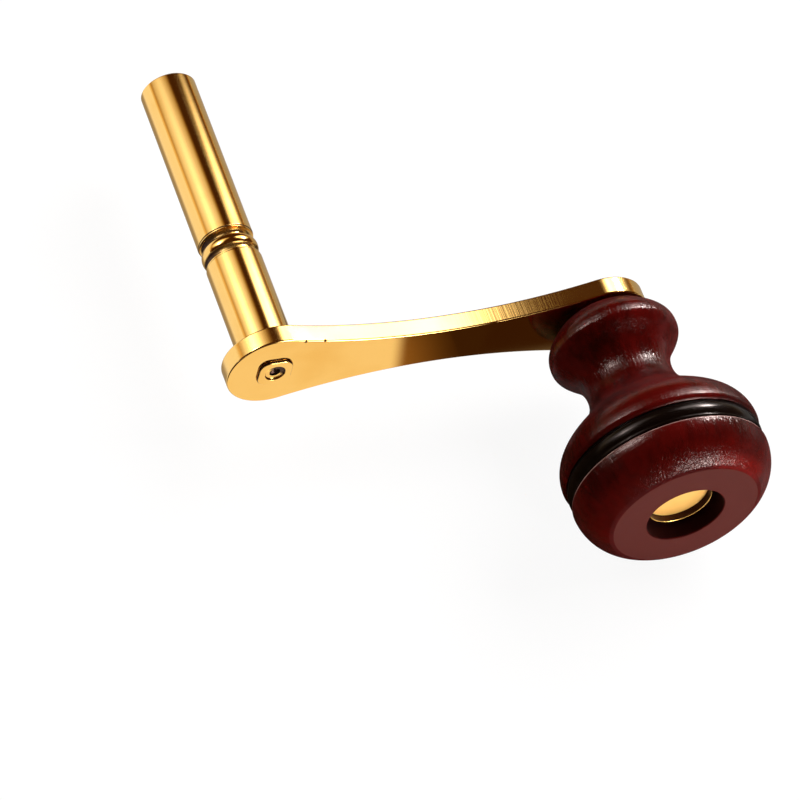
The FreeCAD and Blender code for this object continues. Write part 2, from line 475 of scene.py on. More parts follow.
def barrelPaintedShade(finish, x, y, z, radius):
    # Painted shade in dark brown: in the cove and the groove, most on one side, in the fine cuts,
    # on the boss's wall and in its dish. The small numbers are soft edges in millimetres
    b = barrel
    step, within = finish.step, finish.within
    place, bossEnd = -y, b["bossHeight"] - armFront - 0.02
    hollows = (within(place, b["cove"][0] - 0.06, b["cove"][1], 0.06)
               + within(place, b["beadEnd"] - 0.1, b["grooveEnd"], 0.25))
    litSide = step(x * 0.9 + z * 0.45, -3.5, 3.5)
    hollows = hollows * (1 - litSide * 0.75)
    firstCut, secondCut = b["firstCut"][0], b["secondCut"][0]
    cuts = (within(place, firstCut, firstCut + 0.2, 0.03)
            + within(place, secondCut, secondCut + 0.16, 0.03))
    cuts = cuts * (1 - step(radius, b["radius"] - 0.06, b["radius"] - 0.02))
    wall = within(place, -armFront, bossEnd, 0.05, 0.08)
    wall = wall * step(radius, b["dishRadius"] + 0.1, b["dishRadius"] + 0.3)
    inDish = within(place, b["solidFrom"], bossEnd, 1.0, 0.08)
    inDish = inDish * (1 - step(radius, b["dishRadius"], b["dishRadius"] + b["dishEdge"]))
    shadedSide = step(x * 0.6 + z * 0.8, -0.2, 0.6)
    inMark = 1 - step(radius, b["markRadius"], b["markRadius"] + 0.05)
    patchy = finish.speckle(finish.vector(x, y, z), 1.5, 2.0)
    share = hollows + cuts + wall + inDish * (shadedSide + inMark).atMost(1.0)
    return (share * (0.88 + patchy * 0.24)).atMost(1.0)


def makeBarrel():
    b = barrel
    r = b["radius"]
    bossEnd = armFront - b["bossHeight"]
    # Socket
    reliefEnd = -b["socketDepth"] - b["reliefLength"]
    tip = reliefEnd - b["reliefRadius"] / math.tan(math.radians(b["tipAngle"] / 2))
    bottom = roundRing(b["reliefRadius"], reliefEnd)
    relief = roundRing(b["reliefRadius"], -b["socketDepth"])
    square = squareRing(b["socketWidth"] / 2, b["socketCorner"], -b["socketDepth"])
    leadRadius = r - b["mouthChamfer"] - b["mouthLand"]
    scallop = [(reach, reach - leadRadius) for reach, _ in square]
    rings = [roundRing(0, tip)]
    rings += between(roundRing(coreRadius, tip), bottom, (0.02, 0.5, 0.98, 1))
    rings += between(bottom, relief, (0.02, 0.98, 1))
    rings += between(relief, square, (0.1, 0.9, 1))
    rings += between(square, scallop, (0.003, 0.5, 0.997, 1))
    rings += between(scallop, roundRing(leadRadius, 0), (0.05, 0.5, 0.95))
    # Outside, from the mouth to the shoulder
    mouth, mouthEdge = (r - b["mouthChamfer"], 0), (r, -b["mouthChamfer"])
    land, deepest = r - b["landDrop"], r - b["cutDepth"]
    firstCut, secondCut = [
        [(radius, -place) for radius, place in zip(radii, b[name])]
        for name, radii in (("firstCut", (r, deepest, land)), ("secondCut", (land, deepest, r)))]
    coveIn, coveOut = (land, -b["cove"][0]), (r - b["coveLip"], -b["cove"][1])
    coveMiddle = (r - b["coveDepth"], -sum(b["cove"]) / 2)
    beadIn, beadOut = [(r - b["beadEdge"], -b[place]) for place in ("beadStart", "beadEnd")]
    beadMiddle = (r + beadCrown, (beadIn[1] + beadOut[1]) / 2)
    grooveOut = (r - b["grooveDepth"], -b["grooveEnd"])
    handles = [
        (spot[0] + handle[0], spot[1] + handle[1])
        for spot, handle in zip((beadOut, grooveOut), b["grooveHandles"])]
    outside = joined(
        [
            *straight((leadRadius, 0), mouth, mouthEdge, *firstCut, coveIn),
            arcRun(coveIn, coveMiddle, coveOut, 24),
            [coveOut, beadIn],
            arcRun(beadIn, beadMiddle, beadOut, 24),
            curveRun(beadOut, *handles, grooveOut, 28),
            *straight(grooveOut, (land, grooveOut[1] - b["grooveWall"]), *secondCut,
                      (r, armBack), (b["shoulderHold"], armBack)),
        ],
        (0.06, 0.06, 0.03, 0.02, 0.02, 0.04, 0.03, 0.03, 0.1, 0.02, 0.04, 0.02, 0.02, 0.03, 0.04),
    )
    rings += roundRings(outside)
    # Tenon, its boss and the dish in its end
    half, corner, edgeWidth = b["tenonWidth"] / 2, b["tenonCorner"], b["tenonEdge"]
    shoulder = rings[-1]
    root = squareRing(half, corner, armBack)
    edge = squareRing(half, corner, bossEnd + edgeWidth)
    rim = squareRing(half - edgeWidth, corner - edgeWidth, bossEnd)
    dishRim = (b["dishRadius"] + b["dishEdge"], bossEnd)
    dishFloor, markTip = bossEnd + b["dishDepth"], bossEnd + b["markDepth"]
    rings += between(shoulder, root, (0.8, 1))
    rings += between(root, edge, (0.02, 0.5, 0.96, 0.985, 0.995))
    rings += between(edge, rim, (0.12, 0.3, 0.7, 0.88))
    rings += between(rim, roundRing(*dishRim), (0.03, 0.08, 0.5, 0.9))
    rings += roundRings(joined(
        straight(
            dishRim,
            (b["dishRadius"], bossEnd),
            (b["dishRadius"] - b["dishWall"], dishFloor),
            (b["markRadius"], dishFloor),
            (b["markRadius"], bossEnd + b["markWall"]),
            (b["markTip"], markTip),
        ),
        (0.04, 0.05, 0.04, 0.05),
    ))
    rings.append(roundRing(0, markTip))
    return turnedPiece("brassBarrel", rings, 0)


# The arm, a plate with two round ends and hollow sides

arm = {
    "bigEnd": 8.4,
    "smallEnd": 8.3,
    "waistRadius": 105.0,
    "bevel": 0.26,
    "bevelSteps": 4,
    "bevelHold": 0.06,
    "stepLength": 0.35,         # spacing of points along the outline
    "gridStep": 1.2,            # spacing of the points inside the flat faces
    "gridRow": 0.87,            # of that step
    "gridMargin": 0.6,
    "gridEnds": (-9, 70),
    "gridSide": 9,
    "holeSteps": 128,
    "seat": 0.02,
    "rivetRadius": 2.2,
    "rivetFlare": 0.6,
}

armLook = {
    "haze": 0.06,                   # spots per millimetre
    "acrossLines": (3.0, 0.06),     # lines on the edge: fineness and run per millimetre
    "alongLines": (2.5, 0.15),      # lines on the faces
    "alongShare": 0.25,
    "edgeTurn": (0.2, 0.8),         # how far the surface turns from face to edge
    "roughness": 0.09,
    "hazeRoughness": 0.06,
    "lineRoughness": 0.04,
    "edgeRoughness": 0.05,
    "lineDepth": 0.003,
    "brushed": (30, 56, 12, 6),     # coarser lines on this stretch of the edge, soft at both ends
    "brushedShare": 3.5,
    "pits": ((4.3, -62.1, 7.25), (7.9, -62.1, 6.65)),    # two dark specks on the front edge
    "pitSize": (0.2, 0.4),
    "pitColour": (0.03, 0.012, 0.004),
}


def armBrass():
    # The arm: satin faces, and fine lines across the narrow edge
    look = armLook
    finish = newFinish("armBrass")
    x, y, z = finish.places()
    normal = finish.node("ShaderNodeNewGeometry", output="Normal")
    facing = abs(finish.outputs("ShaderNodeSeparateXYZ", {0: normal})["Y"])
    onEdge = 1 - finish.step(facing, *look["edgeTurn"])
    fine, run = look["acrossLines"]
    across = finish.speckle(finish.vector(x * fine, y * run, z * fine), 1.0, 3.0)
    fine, run = look["alongLines"]
    along = finish.speckle(finish.vector(x * run, y * fine, z * fine), 1.0, 3.0)
    haze, colour = hazyBrass(finish, x, y, z, look["haze"])
    spot = finish.vector(x, y, z)
    for pit in look["pits"]:
        settings = {"operation": "DISTANCE"}
        away = finish.node("ShaderNodeVectorMath", settings, {0: spot, 1: pit}, output="Value")
        dark = 1 - finish.step(away, *look["pitSize"])
        colour = finish.blend(dark, colour, look["pitColour"])
    rough = look["roughness"] + (haze - 0.5) * look["hazeRoughness"]
    rough = rough + (along - 0.5) * look["lineRoughness"] + onEdge * look["edgeRoughness"]
    brushed = 1 + finish.within(x, *look["brushed"]) * look["brushedShare"]
    height = across * onEdge * brushed + along * (1 - onEdge) * look["alongShare"]
    return closeBrass(finish, colour, 1.0, rough, height, look["lineDepth"])


def armWaist():
    # The arc that hollows one side: its centre, and how far that is from each end's centre
    fromBig, fromSmall = [arm[end] + arm["waistRadius"] for end in ("bigEnd", "smallEnd")]
    x = (fromBig**2 - fromSmall**2 + knobAxis**2) / (2 * knobAxis)
    return x, math.sqrt(fromBig**2 - x**2), fromBig, fromSmall


def armOutline():
    # Points round the plate with the outward direction at each
    waistX, waistZ = armWaist()[:2]
    toBig = math.atan2(waistZ, waistX)
    toSmall = math.atan2(waistZ, waistX - knobAxis)
    spots = []

    def arc(x, z, radius, start, end, outward):
        steps = max(2, round(abs(end - start) * radius / arm["stepLength"]))
        for i in range(steps):
            t = start + (end - start) * i / steps
            out = (math.cos(t) * outward, math.sin(t) * outward)
            spots.append(((x + radius * math.cos(t), z + radius * math.sin(t)), out))

    arc(0, 0, arm["bigEnd"], fullTurn - toBig, toBig, 1)
    arc(waistX, waistZ, arm["waistRadius"], toBig + math.pi, toSmall + math.pi, -1)
    arc(knobAxis, 0, arm["smallEnd"], toSmall, -toSmall, 1)
    arc(waistX, -waistZ, arm["waistRadius"], math.pi - toSmall, math.pi - toBig, -1)
    return spots


def insideArm(x, z, margin):
    # True where a point of the flat face lies at least the margin inside the outline
    big, small = arm["bigEnd"], arm["smallEnd"]
    if math.hypot(x, z) < big - margin or math.hypot(x - knobAxis, z) < small - margin:
        return True
    waistX, waistZ, fromBig, fromSmall = armWaist()
    start, end = waistX * big / fromBig, knobAxis - (knobAxis - waistX) * small / fromSmall
    if not start < x < end:
        return False
    return math.hypot(x - waistX, abs(z) - waistZ) > arm["waistRadius"] + margin


def flatFace(loops, onPlate):
    # Fills the plate between its outline and its holes with even triangles
    points, edges = [], []
    for loop in loops:
        first = len(points)
        points += [Vector(spot) for spot in loop]
        edges += [(first + i, first + (i + 1) % len(loop)) for i in range(len(loop))]
    step, (left, right), side = arm["gridStep"], arm["gridEnds"], arm["gridSide"]
    for i in range(int(left / step), int(right / step)):
        for j in range(int(-side / step), int(side / step) + 1):
            x, z = (i + (j % 2) / 2) * step, j * step * arm["gridRow"]
            if onPlate((x, z), arm["gridMargin"]):
                points.append(Vector((x, z)))
    spots, _, triangles, *_ = delaunay_2d_cdt(points, edges, [], 1, 1e-7)
    kept = []
    for triangle in triangles:
        middle = sum((spots[k] for k in triangle), Vector((0, 0))) / 3
        if onPlate(middle, 0):
            kept.append(triangle)
    return spots, kept


def closeSeams(piece):
    # Merges points that lie together and turns every face outwards
    work = bmesh.new()
    work.from_mesh(piece.data)
    bmesh.ops.remove_doubles(work, verts=work.verts, dist=0.001 * mm)
    bmesh.ops.recalc_face_normals(work, faces=work.faces)
    work.to_mesh(piece.data)
    work.free()


def makeArm():
    a = arm
    spots = armOutline()
    count = len(spots)
    vertices, faces = [], []
    # Rows across the edge: how far in from the outline, and where along Y
    inset = a["bevel"] + a["bevelHold"]
    rows = [(inset, armFront)]
    for i in range(a["bevelSteps"] + 1):
        t = math.pi / 2 * i / a["bevelSteps"]
        rows.append((a["bevel"] * (1 - math.sin(t)), armFront + a["bevel"] * (1 - math.cos(t))))
    rows.append((0, armFront + a["bevel"] + holdWidth))
    middle = (armFront + armBack) / 2
    rows.append((0, middle))
    for depth, place in reversed(rows[:-1]):
        rows.append((depth, 2 * middle - place))
    for depth, place in rows:
        for (x, z), (ox, oz) in spots:
            vertices.append(((x - ox * depth) * mm, place * mm, (z - oz * depth) * mm))
    for r in range(len(rows) - 1):
        for k in range(count):
            n = (k + 1) % count
            faces.append((r * count + k, r * count + n, (r + 1) * count + n, (r + 1) * count + k))
    # Flat faces with the square hole and the rivet's hole
    half, corner, size = barrel["tenonWidth"] / 2 + a["seat"], barrel["tenonCorner"], a["holeSteps"]
    turns = [fullTurn * k / size for k in range(size)]
    frontRivet = a["rivetRadius"] + a["seat"]
    backRivet = frontRivet + a["rivetFlare"]

    def squareLoop(wider=0.0):
        reaches = [squareRadius(half + wider, corner + wider, turn) for turn in turns]
        return [(reach * math.sin(turn), reach * math.cos(turn))
                for reach, turn in zip(reaches, turns)]

    def rivetLoop(radius):
        return [(knobAxis + radius * math.sin(turn), radius * math.cos(turn)) for turn in turns]

    ringStarts = {}
    for side, place, rivet in (("front", armFront, frontRivet), ("back", armBack, backRivet)):
        rim = [(x - ox * inset, z - oz * inset) for (x, z), (ox, oz) in spots]

        def onPlate(spot, margin):
            x, z = spot
            if squareRadius(half, corner, math.atan2(x, z)) + margin > math.hypot(x, z):
                return False
            if math.hypot(x - knobAxis, z) < rivet + margin:
                return False
            return insideArm(x, z, inset + margin)

        loops = [rim, squareLoop(), rivetLoop(rivet),
                 squareLoop(holdWidth), rivetLoop(rivet + holdWidth)]
        flat, triangles = flatFace(loops, onPlate)
        first = len(vertices)
        vertices += [(p.x * mm, place * mm, p.y * mm) for p in flat]
        faces += [tuple(first + k for k in triangle) for triangle in triangles]
        ringStarts[side] = first + count
    # Walls of the two holes
    flareRow = len(vertices)
    flareEnd = (armBack - a["rivetFlare"]) * mm
    vertices += [(x * mm, flareEnd, z * mm) for x, z in rivetLoop(frontRivet)]
    walls = [
        (ringStarts["front"], ringStarts["back"]),
        (ringStarts["front"] + size, flareRow),
        (flareRow, ringStarts["back"] + size),
    ]
    for lower, upper in walls:
        for k in range(size):
            n = (k + 1) % size
            faces.append((lower + k, lower + n, upper + n, upper + k))
    piece = makeMesh("brassArm", vertices, faces)
    closeSeams(piece)
    return piece


# The spindle, with its riveted end in the arm and its flat head inside the knob

spindle = {
    "shankRadius": 3.0,
    "rivetRadius": arm["rivetRadius"],
    "rivetFlare": arm["rivetFlare"],
    "rivetEdge": 0.3,
    "rivetDish": 0.15,
    "headRadius": spindleHigh.z,
    "headThickness": 1.45,
    "headEdge": 0.12,
    "roughness": 0.58,
    "lineDepth": 0.003,
}


def makeSpindle():
    s = spindle
    top, headFront = spindleHigh.y, spindleLow.y
    headBack = headFront + s["headThickness"]
    spread = s["rivetRadius"] + s["rivetFlare"]
    outline = joined(
        straight(
            (coreRadius, top - s["rivetDish"]),
            (spread - s["rivetEdge"], top),
            (spread, armBack),
            (s["rivetRadius"], armBack - s["rivetFlare"]),
            (s["rivetRadius"], armFront),
            (s["shankRadius"], armFront),
            (s["shankRadius"], headBack),
            (s["headRadius"], headBack),
            (s["headRadius"], headFront + s["headEdge"]),
            (s["headRadius"] - s["headEdge"], headFront),
            (coreRadius, headFront),
        ),
        (0.12, 0.1, 0.05, 0.05, 0.05, 0.1, 0.08, 0.04, 0.04),
    )
    rings = [roundRing(0, outline[0][1]), *roundRings(outline), roundRing(0, headFront)]
    return turnedPiece("brassSpindle", rings, knobAxis)


# Washers: a plain one between arm and knob, and a thin cup under the spindle's head

washers = {
    "hole": 3.02,
    "edge": 0.05,
    "cupWall": 0.35,
    "cupCorner": 0.3,
    "cupRim": 0.45,              # how round the rim is, as a share of the wall
    "cupFloorCorner": 0.1,
    "roughness": 0.12,
    "lineDepth": 0.001,
    "cupStart": (10, 5),         # the cup lies past this much before the spindle's head
    # painted shade in the cup and on the plain washer
    "cupInside": (0.02, 0.08),   # its brown starts this far outside its inner wall
    "patches": 0.6,              # brown patches of the plain washer, per millimetre
    "patchShare": (0.6, 0.4),
}


def washerPaintedShade(finish, x, y, z, radius):
    # Painted shade: the cup is dark brown inside, with a bright rim, and the plain washer between
    # arm and knob is dark brown in patches
    w = washers
    inner = boxOf("cup_washer")[1].z - w["cupWall"]
    inCup = finish.step(-y, *[-spindleLow.y - before for before in w["cupStart"]])
    inside = 1 - finish.step(radius, *[inner + out for out in w["cupInside"]])
    least, more = w["patchShare"]
    patchy = finish.speckle(finish.vector(x, y, z), w["patches"], 2.0) * more + least
    return inCup * inside + (1 - inCup) * patchy


def makeSpacer():
    low, high = boxOf("arm_washer")
    hole, outer = washers["hole"], high.z
    corners = [(hole, high.y), (outer, high.y), (outer, low.y), (hole, low.y), (hole, high.y)]
    outline = joined(straight(*corners), (washers["edge"],) * 4, closed=True)
    return turnedPiece("spacerWasher", roundRings(outline), knobAxis, closed=True)


def makeCup():
    w = washers
    low, high = boxOf("cup_washer")
    hole, wall, outer = w["hole"], w["cupWall"], high.z
    inner, inside, rim = outer - wall, high.y - wall, wall * w["cupRim"]
    corners = [
        (hole, high.y), (outer, high.y), (outer, low.y), (inner, low.y), (inner, inside),
        (hole, inside), (hole, high.y)]
    cuts = w["cupCorner"], rim, rim, w["cupFloorCorner"], w["edge"], w["edge"]
    outline = joined(straight(*corners), cuts, closed=True)
    return turnedPiece("cupWasher", roundRings(outline), knobAxis, closed=True)


# The knob

knob = {
    "backRadius": 8.5,
    "flangeRadius": 11.65,
    "neckRadius": 7.84,
    "flange": 5.9,               # places from the arm's front face
    "neck": 13.9,
    "body": 29.0,
    "bandStart": 30.0,
    "bandCrown": 31.45,
    "bandEnd": 32.75,
    "threadCrown": 33.04,
    "threadEnd": 33.28,
    "gap": 33.42,
    "lip": 33.68,
    "bandDrops": (0.78, 0.28, 0.62, 0.5, 0.72, 0.9),    # how far each lies inside the body's radius
    "lipDrop": 0.16,
    "endMiddleDrop": 1.64,
    "endMiddle": 38.6,
    "endDrop": 4.78,
    "boreRadius": 3.05,
    "counterboreRadius": 6.93,
    "counterboreDepth": 5.75,
    "flangeTuck": 0.1,
    "flangeReach": (2.7, 1.4),   # how far the two handles of each free curve reach along the axis
    "neckReach": (2.2, 4.8),
    "bodyReach": (7.4, 7.0),
}


def makeKnob():
    k = knob
    bodyRadius = knobHigh.z
    back, front = knobHigh.y, knobLow.y

    def at(radius, place):
        return (radius, armFront - place)

    def freeCurve(start, end, reach, steps):
        first, last = (start[0], start[1] - reach[0]), (end[0], end[1] + reach[1])
        return curveRun(start, first, last, end, steps)

    backEdge = (k["backRadius"], back)
    flange = at(k["flangeRadius"], k["flange"])
    neck = at(k["neckRadius"], k["neck"])
    body = at(bodyRadius, k["body"])
    bandNames = "bandStart", "bandCrown", "bandEnd", "threadCrown", "threadEnd", "gap"
    bandIn, bandMiddle, bandOut, threadMiddle, threadOut, gap = [
        at(bodyRadius - drop, k[name]) for drop, name in zip(k["bandDrops"], bandNames)]
    lip = at(bodyRadius - k["lipDrop"], k["lip"])
    endMiddle = at(bodyRadius - k["endMiddleDrop"], k["endMiddle"])
    endEdge = (bodyRadius - k["endDrop"], front)
    boreFloor = front + k["counterboreDepth"]
    flangeOut, flangeIn = k["flangeReach"]
    # The body rolls in to the band on an arc that leaves it along the axis
    drop, run = body[0] - bandIn[0], body[1] - bandIn[1]
    rollRadius = (drop**2 + run**2) / (2 * drop)
    halfTurn = math.atan2(run, rollRadius - drop) / 2
    rollMiddle = (
        body[0] - rollRadius * (1 - math.cos(halfTurn)), body[1] - rollRadius * math.sin(halfTurn))
    outline = joined(
        [
            [(k["boreRadius"], back), backEdge],
            curveRun(backEdge, (flange[0] - k["flangeTuck"], back - flangeOut),
                     (flange[0], flange[1] + flangeIn), flange, 36),
            freeCurve(flange, neck, k["neckReach"], 40),
            freeCurve(neck, body, k["bodyReach"], 70),
            arcRun(body, rollMiddle, bandIn, 16),
            arcRun(bandIn, bandMiddle, bandOut, 28),
            arcRun(bandOut, threadMiddle, threadOut, 10),
            *straight(threadOut, gap, lip),
            arcRun(lip, endMiddle, endEdge, 40),
            *straight(
                endEdge,
                (k["counterboreRadius"], front),
                (k["counterboreRadius"], boreFloor),
                (k["boreRadius"], boreFloor),
                (k["boreRadius"], back),
            ),
        ],
        (0.3, 0, 0, 0, 0.08, 0.04, 0.03, 0.03, 0.2, 0.2, 0.2, 0.15, 0.1, 0.2),
        closed=True,
    )
    return turnedPiece("turnedKnob", roundRings(outline), knobAxis, closed=True)


# Dark red-brown stained wood under varnish, with the band between the grooves stained black

wood = {
    # Figures: scale across and along the axis per millimetre, detail, roughness and distortion
    "grain": (0.7, 0.07, 3.0, 0.5, 0.5),
    "broad": (0.13, 0.06, 3.0, 0.5, 0.3),
    "streaks": (2.9, 0.65, 2.0, 0.55, 1.2),
    "latheLines": (0.09, 3.0, 2.0),
    "red": (0.092, 0.0027, 0.0023),
    "dark": (0.034, 0.0010, 0.0009),
    "pores": (0.010, 0.0006, 0.0005),
    "blackStain": (0.0030, 0.0015, 0.0012),
    # painted highlight: a pale line round the lip's rounded edge
    "paintedLipHighlight": (0.80, 0.50, 0.46),
    "nearEnd": (0.14, 0.005, 0.0035),
    "redPatch": (0.26, 0.006, 0.004),
    "endFace": (0.168, 0.034, 0.027),
    # painted shade: the counterbore's wall nearly black
    "bore": (0.020, 0.0005, 0.0005),
    "patchSide": (0.53, 0.848),         # where the red patch lies, along X and Z
    "outside": (15.5, 16.0),            # the radius that parts the outside from the bore
    "faceDepth": 0.25,                  # the bare end face reaches this far round its edge
    "depth": 0.11,                      # of the figure
    "latheDepth": (0.16, 0.09),         # a share of that, and more on the band
    "roughness": (0.10, 0.06, 0.08),    # of the varnish, more with the grain and on the band
    "ior": 1.37,
    "shineTint": (1.0, 0.80, 0.74, 1),
    "mattRoughness": 0.9,
    "mattShine": 0.1,
    "dullSpan": (0.45, 0.87),           # the varnish is dull towards the knob's outline
    "dullShare": 0.88,
}


def knobWood():
    w, k = wood, knob
    finish = newFinish("varnishedWood")
    step, within = finish.step, finish.within
    x, y, z = finish.places()
    x = x - knobAxis
    radius = (x * x + z * z)**0.5
    place = armFront - y

    def figure(across, along, *noise):
        return finish.speckle(finish.vector(x * across, y * along, z * across), 1.0, *noise)

    grain, broad, streaks = [figure(*w[name]) for name in ("grain", "broad", "streaks")]
    lathe = finish.latheLines(x, y, z, radius, *w["latheLines"])
    # Masks. Their small numbers are soft edges in millimetres, or levels of a figure
    mouth = k["counterboreRadius"]
    faceStart = armFront - knobLow.y - w["faceDepth"]
    faceEdge = knobHigh.z - k["endDrop"]
    outside = step(radius, *w["outside"])
    shade = step(grain * 0.35 + broad * 0.65, 0.36, 0.64)
    pores = step(streaks, 0.62, 0.74) * 0.5
    band = within(place, k["bandStart"] - 0.15, k["gap"] + 0.13, 0.15, 0.1) * outside
    # Painted highlight: a pale, broken line round the lip's edge
    lipHighlight = within(place, k["lip"] - 0.1, k["lip"] + 0.22, 0.06, 0.1) * outside
    lipHighlight = lipHighlight * (0.35 + step(grain * 0.5 + broad * 0.5, 0.40, 0.55) * 0.4)
    nearEnd = step(place, 36.5, 40.5) * step(radius, mouth + 0.1, mouth + 0.2) * 0.5
    patch = step((x * w["patchSide"][0] + z * w["patchSide"][1]) / radius, 0.85, 0.97)
    patch = patch * step(place, faceStart - 2.0, faceStart - 0.4)
    patch = patch * (0.35 + step(streaks, 0.4, 0.6) * 0.65)
    endFace = within(radius, mouth + 0.1, faceEdge - 0.05, 0.1)
    endFace = endFace * step(place, faceStart, faceStart + 0.2)
    onFace = step(place, faceStart - 0.2, faceStart + 0.05)
    # Painted shade inside the counterbore
    inBore = within(place, 30.0, faceStart + 0.1, 1.0, 0.1)
    inBore = inBore * (1 - step(radius, mouth, mouth + 0.04))
    # Colours, each laid over the one before
    colour = finish.blend(shade, w["red"], w["dark"])
    for share, name in (
            (pores, "pores"), (band, "blackStain"), (lipHighlight, "paintedLipHighlight"), (nearEnd, "nearEnd"),
            (patch, "redPatch"), (endFace, "endFace"), (inBore, "bore")):
        colour = finish.blend(share, colour, w[name])
    rough = step(broad, 0.35, 0.6) * 0.5 + 0.5
    height = (grain * 0.3 + streaks * rough) * (1 - band)
    height = height + lathe * (w["latheDepth"][0] + band * w["latheDepth"][1])
    smooth, onGrain, onBand = w["roughness"]
    gloss = finish.node("ShaderNodeBsdfPrincipled", {}, {
        "Base Color": colour, "Roughness": smooth + grain * onGrain + band * onBand,
        "IOR": w["ior"], "Specular Tint": w["shineTint"],
        "Normal": finish.bump(height, w["depth"])})
    matt = finish.node("ShaderNodeBsdfPrincipled", {}, {
        "Base Color": colour, "Roughness": w["mattRoughness"],
        "Specular IOR Level": w["mattShine"]})
    # The end face and the bore have no varnish
    rim = finish.node("ShaderNodeLayerWeight", {}, {"Blend": 0.5}, output="Facing")
    dull = (onFace + inBore + step(rim, *w["dullSpan"]) * w["dullShare"]).atMost(1.0)
    return finish.close(finish.mixed(dull, gloss, matt))


print("making the brass pieces")
dress(makeBarrel(), "crank", "winding_barrel",
      turnedBrass("barrelBrass", 0, barrel, barrelPaintedShade))
dress(makeArm(), "crank", "crank_arm", armBrass())
dress(makeSpindle(), "crank", "knob_spindle",
      turnedBrass("spindleBrass", knobAxis, spindle))
washerBrass = turnedBrass("washerBrass", knobAxis, washers, washerPaintedShade)
dress(makeSpacer(), "crank", "arm_washer", washerBrass)
dress(makeCup(), "crank", "cup_washer", washerBrass)
print("making the knob")
dress(makeKnob(), "knob", "turned_knob", knobWood())


# Studio

studio = {
    "aim": (30, -50, 0),         # the lamps look here
    "floorGap": 0.05,            # between the knob's lowest point and the floor
    "floorSize": 6000,
    "floorColour": (0.85, 0.85, 0.85, 1),
    "floorGlow": 1.05,
    "shadowShare": 0.12,         # how much of the lit floor shows near the key, with its shadow
    "shadowReach": (90, 250),    # the shadow fades out between these distances
    "cardGap": 0.005,            # from each floor card to the next
}

# Each lamp is a cloth panel with a hot middle and warm dim sides. Its distance is in metres, and
# its other lengths are shares of that. A side is the turn of its inward direction, its start and
# its softness. A lamp without sides is a small hot one that only the polish shows
smallLamp = {
    "reach": 0.2, "glow": 0.0, "warmth": (0.0, 0.0), "sides": [], "hotPlace": (0, 0),
}
lamps = {
    "keyLamp": {
        "look": (45, 36), "distance": 0.40, "reach": 1.0, "glow": 0.45, "warmth": (0.08, 0.15),
        "sides": [(18, -0.18, 0.23), (176, -0.40, 0.14), (78, -0.545, 0.355), (268, -0.54, 0.18)],
        "hotGlow": 5.0, "hotPlace": (-0.11, 0.033), "hotSize": 0.31,
    },
    "sideLamp": {
        "look": (-66, 34), "distance": 0.43, "reach": 1.0, "glow": 0.88, "warmth": (0.21, 0.5),
        "sides": [(0, -0.22, 0.12), (162, -0.55, 0.26), (71, -0.58, 0.39), (298, -0.42, 0.28)],
        "hotGlow": 4.2, "hotPlace": (0.007, 0.144), "hotSize": 0.234,
    },
    "frontLamp": {
        "look": (157, 16), "distance": 1.0, "reach": 0.5, "glow": 0.7, "warmth": (0.0, 0.0),
        "sides": [(0, -0.28, 0.2), (180, -0.28, 0.2), (90, -0.4, 0.2), (270, -0.4, 0.2)],
        "hotGlow": 9.0, "hotPlace": (0, 0), "hotSize": 0.17,
    },
    "knobLamp": {
        **smallLamp, "look": (61, 38), "distance": 0.434, "hotGlow": 150.0, "hotSize": 0.07},
    "edgeLamp": {
        **smallLamp, "look": (36, 52), "distance": 0.455, "hotGlow": 3.2, "hotSize": 0.09},
    "sheenLamp": {
        **smallLamp, "look": (155, 6), "distance": 0.6, "reach": 0.5, "hotGlow": 44.0,
        "hotSize": 0.14},
    "leftKnobLamp": {
        **smallLamp, "look": (-66, 39), "distance": 0.403, "hotGlow": 40.0, "hotSize": 0.075},
}

# Cards that are only seen in the polish: painted reflections, darker and brighter than the floor.
# Those on the floor: middle, half size and softness, turn in degrees and glow
floorCards = {
    "frontCard": ((20, -330), (420, 270), 12, 0, (0.038, 0.014, 0.003)),
    "rightCard": ((760, 560), (758, 625), 12, 0, (0.42, 0.40, 0.36)),
    "barrelCard": ((-9, -12), (16, 52), 12, 0, (0.36, 0.32, 0.24)),
    "underCard": ((54, -46), (26, 24), 8, 0, (0.03, 0.015, 0.006)),
    "brownCard": ((25.8, -72.2), (16, 20), 18, 24.5, (0.34, 0.175, 0.05)),
    "faceCard": ((9.9, -75.0), (20.5, 16), 3, 24.5, (0.985, 0.90, 0.72)),
    "headCard": ((76, -150), (30, 42), 12, 0, (2.1, 1.9, 1.65)),
    "flangeCard": ((102, -62), (38, 15), 8, 0, (0.10, 0.085, 0.07)),
    "sideCard": ((92, -95), (24, 22), 14, 0, (0.4, 0.38, 0.36)),
}

# A dark card, a painted reflection only seen in the polish, that stands left of the knob: its place
# along X, its ends along Y and its top
knobCard = {"x": 41, "ends": (-112, -63.5), "top": 12, "soft": 4, "glow": (0.042, 0.017, 0.004)}

# A broad lamp that lights the matt surfaces and doesn't show in the polish, in metres and watts
topFill = {"look": (72, 44), "distance": 1.2, "size": 1.0, "watts": 15.0}

# A dark room with a pale wall low down behind, brighter on the left
room = {
    "dark": (0.055, 0.020, 0.003),
    "wallTop": (0.02, 0.17),     # the wall fades out between these heights
    "wallSide": (0.0, 0.35),     # and from front to back
    "wallGlow": 0.19,
    "leftGlow": 0.6,
    "leftSpan": (-1.05, 0.35),
    "warmth": (0.3, 0.9),
}

aim = Vector(studio["aim"]) * mm
floorLevel = cadBox[0].z / mm - studio["floorGap"]


def makePanel(name, middle, across, up):
    # One flat face about its middle
    corners = [middle + across * i + up * j for i, j in ((-1, -1), (1, -1), (1, 1), (-1, 1))]
    panel = makeMesh(name, [corner * mm for corner in corners], [(0, 1, 2, 3)])
    return panel


def hide(piece, *kinds):
    for kind in kinds:
        setattr(piece, "visible_" + kind, False)


